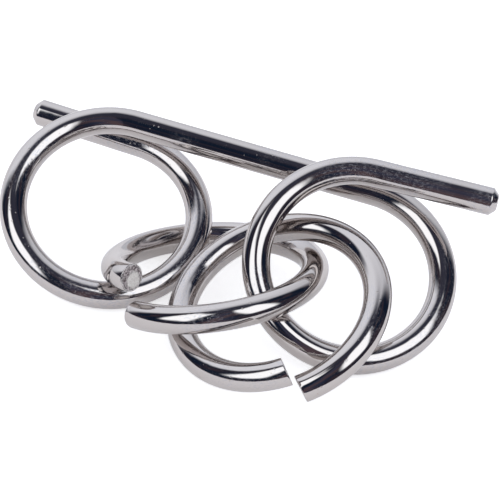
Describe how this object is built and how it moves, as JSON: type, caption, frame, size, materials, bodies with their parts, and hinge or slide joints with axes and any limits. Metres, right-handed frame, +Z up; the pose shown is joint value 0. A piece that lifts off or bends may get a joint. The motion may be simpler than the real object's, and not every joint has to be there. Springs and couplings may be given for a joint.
{
  "type": "wire disentanglement puzzle",
  "caption": "Hand puzzle of bright plated wire: a bar bent into two loops, linked with split rings to be worked free.",
  "frame": {"origin": "on the table plane under the middle of the pile's bounding box", "axes": "+Z up from the table, +X along the looped bar from its left tail to its right tail, +Y towards the bar and away from the split rings"},
  "size_m": [0.0714, 0.0428, 0.0216],
  "materials": {
    "bar_wire": "polished bright plating with fine handling scratches",
    "flat_ring_wire": "polished bright plating, sawn matt ends",
    "front_ring_wire": "polished bright plating, sawn matt ends"
  },
  "bodies": {
    "bar": {"looped_bar": "bar_wire"},
    "flat_ring": {"flat_ring": "flat_ring_wire"},
    "front_ring": {"front_ring": "front_ring_wire"}
  },
  "joints": [
    {"name": "flat_ring_turn", "type": "hinge", "parent": "bar", "child": "flat_ring", "pos_m": [-0.0006, -0.0003, 0.0063], "axis": [-0.2356, 0.2954, 0.9259], "range_deg": [-10, 30]},
    {"name": "front_ring_turn", "type": "hinge", "parent": "bar", "child": "front_ring", "pos_m": [0.00975, -0.0054, 0.0074], "axis": [-0.3036, -0.267, 0.9146], "range_deg": [-10, 40]}
  ]
}
